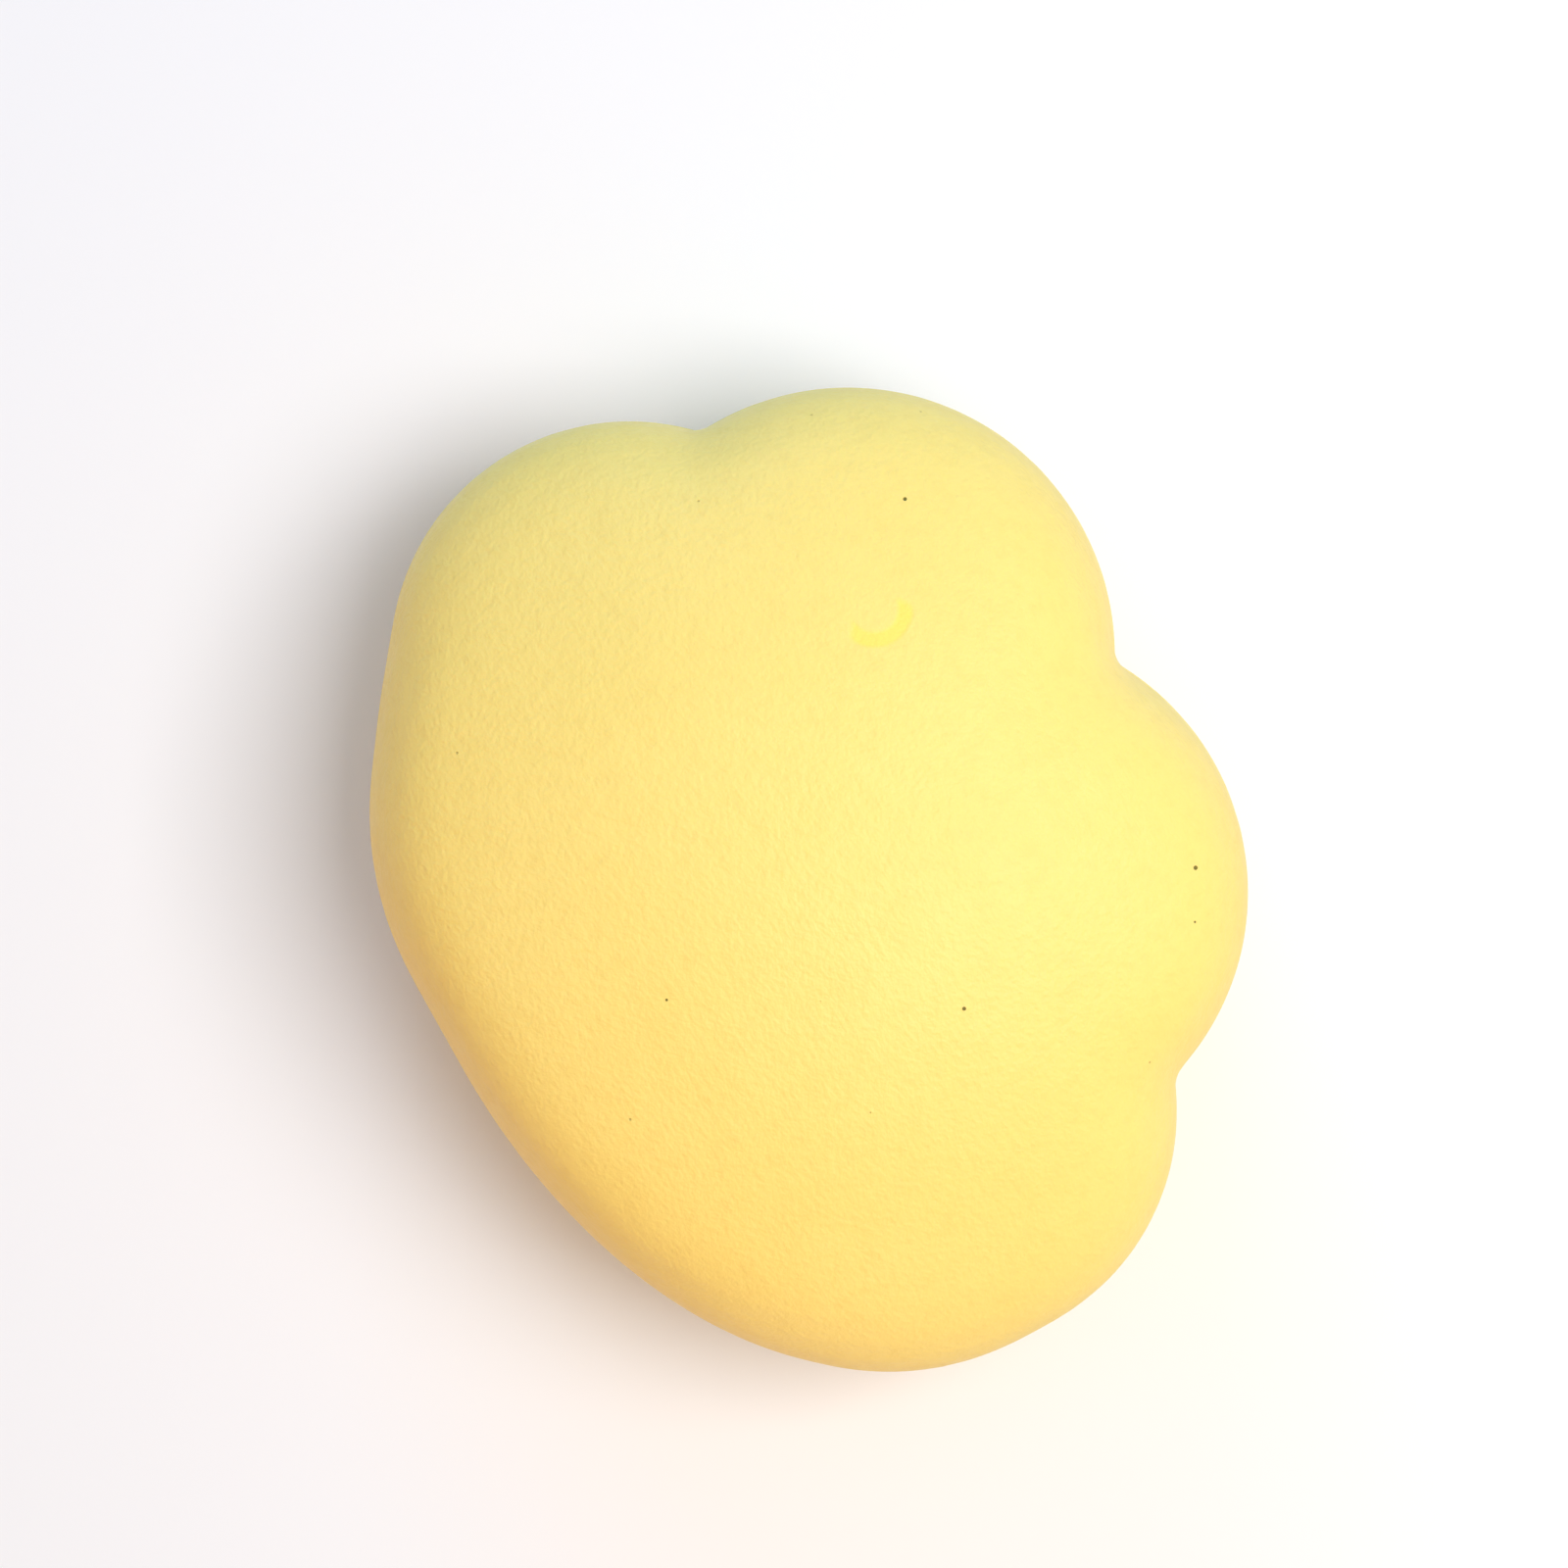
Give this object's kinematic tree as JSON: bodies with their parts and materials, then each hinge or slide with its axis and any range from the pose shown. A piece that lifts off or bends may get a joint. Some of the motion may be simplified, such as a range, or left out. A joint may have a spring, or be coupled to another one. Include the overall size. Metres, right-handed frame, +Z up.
{
  "type": "foam stress toy",
  "caption": "Soft slow-rise foam stress toy in the shape of a paw, with a plain domed back and raised toe and palm pads underneath.",
  "frame": {"origin": "under the middle of the outline, on the surface that the pads stand on", "axes": "+X to the right across the paw, +Y towards the toes, +Z up through the domed back"},
  "size_m": [0.1042, 0.0827, 0.048],
  "materials": {
    "skin": "soft matte moulded polyurethane skin with a fine orange-peel grain",
    "foam": "open-cell slow-rise polyurethane foam",
    "pads": "soft matte moulded polyurethane skin over foam"
  },
  "bodies": {
    "front": {"front_skin": "skin", "foam_core": "foam", "palm_pad": "pads", "toe_pad_outer_left": "pads", "toe_pad_inner_left": "pads", "toe_pad_inner_right": "pads", "toe_pad_outer_right": "pads"},
    "back": {"back_skin": "skin"}
  },
  "joints": [
    {"name": "squeeze", "type": "slide", "parent": "front", "child": "back", "axis": [0, 0, -1], "range_m": [0, 0.02], "stiffness_N_per_m": 400, "deforming": ["foam_core", "back_skin"]}
  ]
}
